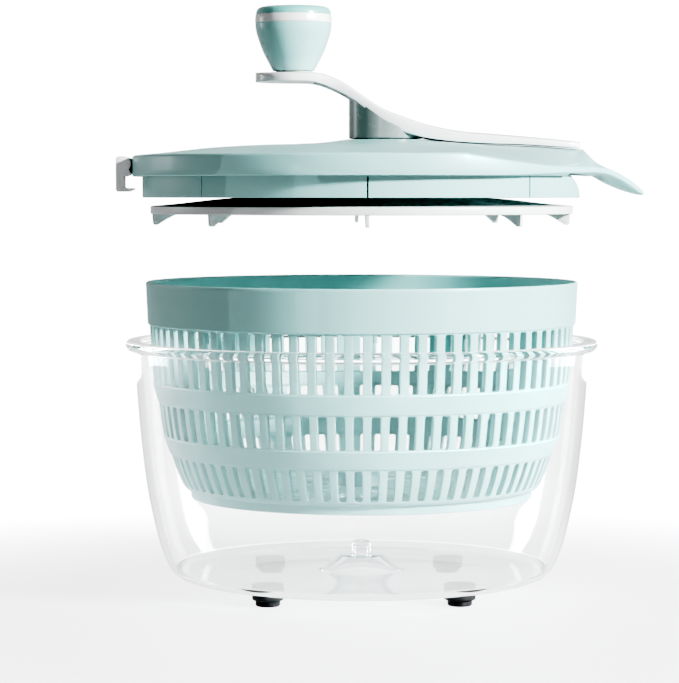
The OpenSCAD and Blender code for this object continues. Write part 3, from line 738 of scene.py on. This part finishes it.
def make_latch():
    x, z = PIN_X, PIN_Z
    knuckle = [(x + 4.1 * math.cos(a), z + 4.1 * math.sin(a)) for a in np.radians(np.linspace(-40, 96, 12))]
    heel = [(x + 6.1 * math.cos(a), z + 6.1 * math.sin(a)) for a in np.radians(np.linspace(270, 312, 5))]
    outline = fillet(plain(knuckle) + [(LATCH_X, 10.3, 1.7), (LATCH_X, -7.7, 1.3), (-119.6, -7.7, 1),
                                       (-117.1, -6.7, 0.3), (-117.1, -5.95, 0.2), (-122, -5.85, 0.9)]
                     + plain(heel), 5)

    def slab(y0, y1):
        return loft([[(px, y, pz) for px, pz in outline] for y in (y0, y1)])

    web = fillet([(LATCH_X, 10.3, 1.7), (LATCH_X, -7.7, 1.3), (-119.6, -7.7, 1), (-117.1, -6.7, 0.3),
                  (-117.1, -5.95, 0.2), (-122, -5.85, 0.9), (-122.05, 1.95, 0), (LATCH_X + 0.5, 2.1, 0),
                  (LATCH_X + 0.48, 10.3, 0)], 5)
    middle = loft([[(px, y, pz) for px, pz in web] for y in (-4.31, 4.31)])
    piece("latch", join(slab(-12, -4.3), slab(4.3, 12), middle), LID, MATERIAL["white_plastic"], "latch",
          ["latch_clip"], bevel=0.35, merge=False)


# ---- crank ----

arm_upper = curve_at([(KNOB_X - 20, 53.2), (KNOB_X - 10, 53.4), (KNOB_X, 53.4), (-24, 53.2), (-16.8, 51.6),
                      (-8.5, 47.7), (0.8, 41.4), (10.1, 35.2), (20, 31.2), (30, 27.7), (38, 25.6),
                      (46, 24), (54, 22.9), (64, 22.2), (82, 20.7), (102, 18.9), (112.4, 17.6)], 10)
arm_lower = curve_at([(KNOB_X - 20, 48.4), (KNOB_X, 48.4), (-24, 47.8), (-14.7, 44.5), (-5.4, 39.5),
                      (0.8, 35.1), (10.1, 28.1), (20, 23.2), (27, 20.9), (34, 19.4), (45, 18), (61, 17),
                      (82, 16.35), (92, 15.85), (102, 15.15), (112.4, 14.5)], 10)
arm_half = curve_at([(KNOB_X, 19.4), (-27, 18), (-14, 14.5), (0, 15.4), (CRANK_X, 17.2), (30, 17.4),
                     (60, 15.4), (90, 12), (104, 9.4), (110, 7.2), (112.2, 4.2)], 10)


def arm_stations():
    """(x, half width) along the arm, close together at its round ends."""
    start = [(KNOB_X - 19.4 * math.cos(a), 19.4 * math.sin(a)) for a in np.radians(np.linspace(4, 86, 22))]
    body = [(x, float(arm_half(x))) for x in np.linspace(KNOB_X + 1, 104, 74)]
    end = [(x, float(arm_half(x))) for x in (106, 108, 109.4, 110.4, 111.2, 111.8, 112.1)]
    return start + body + end


def arm_section(x, w):
    """Section across the arm: crowned top, rounded edges, and a shallow hollow under it."""
    top, low = float(arm_upper(x)), float(arm_lower(x))
    r = min(1.3, w * 0.45, (top - low) * 0.3)
    crown = min(0.7, w * 0.05)
    rim = min(1.9, w * 0.3)
    solid = CRANK_X - 20 < x < CRANK_X + 21 or x < KNOB_X + 11
    deep = 0.0 if solid else min(2.2, top - low - 1.6)
    pts = []
    for t in np.linspace(-1, 1, 11):
        pts.append(((w - r) * t, top - crown * t * t))
    for a in np.radians([60, 30, 0]):
        pts.append((w - r + r * math.cos(a), top - crown - r + r * math.sin(a)))
    for a in np.radians([0, -45, -90]):
        pts.append((w - 0.5 + 0.5 * math.cos(a), low + 0.5 + 0.5 * math.sin(a)))
    inner = [(w - rim, low), (w - rim - 0.3, low + deep), (0, low + deep), (-w + rim + 0.3, low + deep),
             (-w + rim, low)]
    pts += inner
    for a in np.radians([270, 225, 180]):
        pts.append((-w + 0.5 + 0.5 * math.cos(a), low + 0.5 + 0.5 * math.sin(a)))
    for a in np.radians([180, 150, 120]):
        pts.append((-w + r + r * math.cos(a), top - crown - r + r * math.sin(a)))
    return [(x, y, z) for y, z in pts]


def make_crank():
    arm = loft([arm_section(x, w) for x, w in arm_stations()])
    piece("crank_lever", arm, LID, MATERIAL["white_plastic"], "crank", ["crank_arm"],
          sharp=50, merge=False)
    steps, rows = 128, 10
    verts, faces = [], []
    for row in range(rows + 1):
        for k in range(steps):
            a = 2 * math.pi * k / steps
            r = 18.6 if row == 0 else 19.0
            x, y = CRANK_X + r * math.cos(a), r * math.sin(a)
            top = min(41, float(arm_lower(x)) + 1.2)
            z = 19.4 + (0 if row == 0 else 0.4 + (top - 19.8) * (row - 1) / (rows - 1))
            verts.append((x, y, z))
    for row in range(rows):
        for k in range(steps):
            m = (k + 1) % steps
            faces.append((row * steps + k, row * steps + m, (row + 1) * steps + m, (row + 1) * steps + k))
    faces.append(tuple(reversed(range(steps))))
    faces.append(tuple(range(rows * steps, (rows + 1) * steps)))
    piece("crank_pillar", (verts, faces), LID, MATERIAL["grey_plastic"], "crank",
          ["crank_hub"], merge=False)


# ---- knob ----

def make_knob():
    centre = (KNOB_X, 0)
    base, top = ((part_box(node)[0].z - LID.z) / MM for node in ("knob_grip", "knob_band"))
    outer = smooth_line([(11, base + 0.9), (13.1, base + 4.9), (15.5, base + 9.6), (18, base + 16.3),
                         (19.2, base + 20.7), (19.55, top - 0.4)], 6)
    inner = [(r - 2.2, z) for r, z in outer if z > base + 2.4]
    grip = fillet([(4.06, base, 0.2), (10.4, base, 0.5)] + plain(outer) + [(19.3, top - 0.02, 0)]
                  + plain(reversed(inner)) + [(9, base + 2.2, 0), (6.6, base + 2.2, 0), (6.6, base + 18.6, 0),
                                              (4.06, base + 18.6, 0)], 4)
    piece("knob_body", lathe(grip, 128, centre), LID, MATERIAL["mint_knob"], "knob",
          ["knob_grip"], merge=False)
    ring = fillet([(17.2, top, 0.1), (19.6, top, 0.3), (19.62, top + 2, 0), (19.35, top + 4.3, 0.25),
                   (17.2, top + 4.3, 0.1)], 4)
    piece("knob_white_ring", lathe(ring, 128, centre), LID, MATERIAL["white_plastic"], "knob",
          ["knob_band"], merge=False)
    cap = [(0, top + 3.3), (15, top + 3.3), (15, top + 0.3), (17.15, top + 0.3), (17.15, top + 4.32),
           (19.1, top + 4.32), (19.25, top + 4.5)]
    cap += smooth_line([(19.2, top + 5), (18.7, top + 6.6), (17.6, top + 7.7), (15.4, top + 8.3),
                        (9, top + 8.6), (0, top + 8.7)], 6)
    # the cap takes the darker mint: painted shade on the knob's top
    piece("knob_top", lathe(cap, 128, centre, closed=False), LID, MATERIAL["mint_cap_painted_shade"], "knob",
          ["knob_cap"], merge=False)


# ---- drive plate ----

def make_plate():
    upper = smooth_line([(9, -9.6), (45, -9.8), (70, -11.2), (94, -13.8), (107.2, -14.95)], 6)
    lower = [(r, z - 2) for r, z in upper if r < 106]
    disc = fillet([(3.01, -9.6, 0)] + plain(upper) + [(108.4, -15.1, 0.5), (108.4, -19, 0.4),
                                                      (106.6, -19, 0.4), (106.5, -16.9, 0.3)]
                  + plain(reversed(lower)) + [(9, -14.6, 0.6), (3.01, -14.6, 0)], 4)
    curve = smooth_line([(103.6, -23.9), (100.8, -22.2), (98, -20.6), (95, -19.4), (91, -18.5),
                         (84, -15.2)], 5)
    fin = fillet([(107.9, -16, 0), (107.2, -24.7, 1.1), (104.8, -24.7, 0.6)] + plain(curve), 4)
    blade = loft([[(r, y, z) for r, z in fin] for y in (-0.9, 0.9)])
    fins = [turned(blade, 45 * k) for k in range(8)]
    piece("finned_plate", join(lathe(disc, 224), *fins), LID, MATERIAL["white_plate"], "drive",
          ["drive_plate"], bevel=0.25, merge=False)


# ---- the pieces that stay as the frame has them ----

def dress_frame_nodes():
    slots = {s["node"]: s["material_slot"] for s in frame["record"]["subparts"]}
    for name, obj in frame["nodes"].items():
        if obj.hide_render:
            continue
        obj.data.materials.clear()
        obj.data.materials.append(MATERIAL[slots[name]])
        obj.data.polygons.foreach_set("use_smooth", [True] * len(obj.data.polygons))
        obj.data.set_sharp_from_angle(angle=math.radians(35))


# ---- stage, light, camera ----

SEEN_WHITE = 1.05
SOFT_WHITE = 0.022


def light_share(tree, seen, as_light, mirrored=0.2, inside=0.6):
    """A strength: `seen` to look at, also through clear plastic, `mirrored` where a gloss shows it, `inside`
    where clear plastic mirrors it within its walls, and `as_light` where it lights a surface."""
    path = tree.nodes.new("ShaderNodeLightPath")

    def choose(depth, low, high):
        node = tree.nodes.new("ShaderNodeMapRange")
        tree.links.new(path.outputs[depth], node.inputs["Value"])
        for socket, value in (("To Min", low), ("To Max", high)):
            if isinstance(value, float):
                node.inputs[socket].default_value = value
            else:
                tree.links.new(value, node.inputs[socket])
        return node.outputs["Result"]

    reflected = choose("Transmission Depth", mirrored, inside)
    undimmed = choose("Glossy Depth", seen, reflected)
    return choose("Diffuse Depth", undimmed, as_light)


def make_stage():
    """A pale floor that fades into the white of the background."""
    bpy.ops.mesh.primitive_plane_add(size=30, location=(0, 0, 0))
    floor = bpy.context.object
    floor.name = "studio_floor"
    mat, tree, bsdf = shader("studio_floor", (0.3, 0.3, 0.305), 0.6)
    glow = tree.nodes.new("ShaderNodeEmission")
    tree.links.new(light_share(tree, 0.52, 0.03), glow.inputs["Strength"])
    lit = tree.nodes.new("ShaderNodeAddShader")
    tree.links.new(bsdf.outputs["BSDF"], lit.inputs[0])
    tree.links.new(glow.outputs["Emission"], lit.inputs[1])
    far = tree.nodes.new("ShaderNodeEmission")
    tree.links.new(light_share(tree, SEEN_WHITE, SOFT_WHITE), far.inputs["Strength"])
    coords = tree.nodes.new("ShaderNodeTexCoord")
    middle = tree.nodes.new("ShaderNodeVectorMath")
    middle.inputs[1].default_value = (0, 0.08, 0)
    length = tree.nodes.new("ShaderNodeVectorMath")
    length.operation = "LENGTH"
    fade = tree.nodes.new("ShaderNodeMapRange")
    fade.interpolation_type = "SMOOTHSTEP"
    fade.inputs["From Min"].default_value = 0.17
    fade.inputs["From Max"].default_value = 0.5
    mix = tree.nodes.new("ShaderNodeMixShader")
    tree.links.new(coords.outputs["Object"], middle.inputs[0])
    tree.links.new(middle.outputs["Vector"], length.inputs[0])
    tree.links.new(length.outputs["Value"], fade.inputs["Value"])
    tree.links.new(fade.outputs["Result"], mix.inputs[0])
    tree.links.new(lit.outputs["Shader"], mix.inputs[1])
    tree.links.new(far.outputs["Emission"], mix.inputs[2])
    tree.links.new(mix.outputs["Shader"], tree.nodes["Material Output"].inputs["Surface"])
    floor.data.materials.append(mat)


def area_light(name, place, target, size, power, lights=True):
    """A rectangular softbox. With lights off it is only mirrored, and lights nothing."""
    data = bpy.data.lights.new(name, "AREA")
    data.shape = "RECTANGLE"
    data.size, data.size_y = size
    data.energy = power
    lamp = bpy.data.objects.new(name, data)
    bpy.context.scene.collection.objects.link(lamp)
    lamp.location = place
    lamp.visible_camera = False
    lamp.visible_diffuse = lights
    lamp.rotation_euler = (Vector(target) - Vector(place)).to_track_quat("-Z", "Y").to_euler()
    return lamp


def make_world():
    """White all round to look at, and dimmer as a light, so that the lamps shape the object."""
    world = bpy.data.worlds.new("studio")
    bpy.context.scene.world = world
    world.use_nodes = True
    tree = world.node_tree
    background = tree.nodes["Background"]
    background.inputs["Color"].default_value = (1, 1, 1, 1)
    tree.links.new(light_share(tree, SEEN_WHITE, SOFT_WHITE), background.inputs["Strength"])


def grade_picture():
    """A print-like curve: deep shadows, and a long soft shoulder up to white."""
    view = bpy.context.scene.view_settings
    view.view_transform = "Standard"
    view.use_curve_mapping = True
    mapping = view.curve_mapping
    curve = mapping.curves[3]
    curve.points[0].location = (0, 0)
    curve.points[-1].location = (1, 1)
    for x, y in ((0.02, 0.003), (0.034, 0.036), (0.052, 0.11), (0.082, 0.23), (0.128, 0.395), (0.2, 0.556),
                 (0.312, 0.687), (0.488, 0.795), (0.76, 0.9)):
        curve.points.new(x, y)
    mapping.extend = "EXTRAPOLATED"
    mapping.update()


def around(degrees, distance, height):
    """A place round the object: 0 is in front of it, and positive is to the right."""
    a = math.radians(degrees)
    return (distance * math.sin(a), -distance * math.cos(a), height)


def make_light():
    make_world()
    middle = (0, 0, 0.16)
    area_light("key_right", around(56, 1.5, 0.73), middle, (0.18, 0.18), 22.5)
    area_light("rim_left", around(-112, 1.3, 0.35), middle, (0.3, 0.3), 0.45)
    area_light("high_front", around(14, 1.4, 1.15), middle, (0.5, 0.5), 0.8)
    knob = ("knob_body", "knob_white_ring", "knob_top")
    for name, degrees, distance, size, radiance, shown_in in (
            ("box_left", -123, 1.2, (0.45, 1.15), 6.0, ("clear_bowl",)),
            ("box_right", 117, 1.2, (0.6, 1.15), 6.0, ("clear_bowl",)),
            ("slit_left", -82, 1.3, (0.05, 1.1), 6.0, ("clear_bowl",)),
            ("slit_right", 76, 1.3, (0.06, 1.1), 8.0, ("clear_bowl",)),
            ("slit_knob", 44, 1.6, (0.09, 1.2), 5.0, knob),
            ("slit_hub", -19, 1.6, (0.08, 1.2), 5.0, ("crank_pillar",))):
        power = radiance * math.pi * size[0] * size[1]
        lamp = area_light(name, around(degrees, distance, 0.25), middle, size, power, lights=False)
        seen_by = bpy.data.collections.new(name)
        for piece_name in shown_in:
            seen_by.objects.link(bpy.data.objects[piece_name])
        lamp.light_linking.receiver_collection = seen_by
    grade_picture()


def make_camera():
    """The camera of the picture: a long lens at table height, a little left of the front."""
    picture_w, picture_h, sensor = 679, 683, 36.0
    focal_px, distance, eye = 2600.0, 1.341, 0.2069
    axis_px, horizon_px, swing = 361.5, 192.0, -1.5
    data = bpy.data.cameras.new("camera")
    data.sensor_width = sensor
    data.lens = focal_px * sensor / picture_h
    camera = bpy.data.objects.new("camera", data)
    bpy.context.scene.collection.objects.link(camera)
    turn = math.radians(swing)
    camera.location = (distance * math.sin(turn), -distance * math.cos(turn), eye)
    yaw = math.atan((axis_px - picture_w / 2) / focal_px)
    pitch = math.atan((horizon_px - picture_h / 2) / focal_px)
    camera.rotation_euler = (math.pi / 2 + pitch, 0, turn + yaw)
    bpy.context.scene.camera = camera


make_camera()
make_bowl()
make_basket()
make_lid()
make_latch()
make_crank()
make_knob()
make_plate()
dress_frame_nodes()
make_stage()
make_light()
